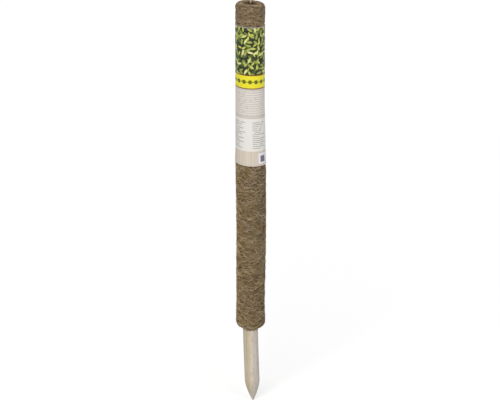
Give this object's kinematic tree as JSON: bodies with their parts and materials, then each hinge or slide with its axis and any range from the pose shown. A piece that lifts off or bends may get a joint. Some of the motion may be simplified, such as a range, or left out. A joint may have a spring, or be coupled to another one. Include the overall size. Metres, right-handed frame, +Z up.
{
  "type": "moss pole",
  "caption": "Coir plant support: a pointed round wooden stake wrapped in thread-bound coir, with a paper label sleeve that slides off over the top.",
  "frame": {"origin": "on the stake's axis at the soil line, in the plane of the coir's lower end", "axes": "+Z up along the pole, towards its top; -Y towards the front, which faces the viewer in the picture; +X to the viewer's right"},
  "size_m": [0.0428, 0.0436, 0.6],
  "materials": {
    "wood": "bare turned softwood, matt, with fine lengthwise grain",
    "coir_inner": "pressed coir fibre, rough",
    "coir": "curly coir fibre, matt and rough",
    "thread": "twisted brown thread, matt",
    "staple_wire": "bare galvanised wire",
    "label_paper": null,
    "label_glue": "hot-melt adhesive"
  },
  "bodies": {
    "pole": {"stake": "wood", "coir_packing": "coir_inner", "coir_mat": "coir", "binding_thread": "thread", "staple_lower_left": "staple_wire", "staple_lower_right": "staple_wire", "staple_upper_left": "staple_wire", "staple_upper_right": "staple_wire"},
    "label": {"label_sheet": "label_paper", "label_glue_strip": "label_glue"}
  },
  "joints": [
    {"name": "label_slide", "type": "slide", "parent": "pole", "child": "label", "axis": [0, 0, 1], "range_m": [0, 0.25]}
  ]
}
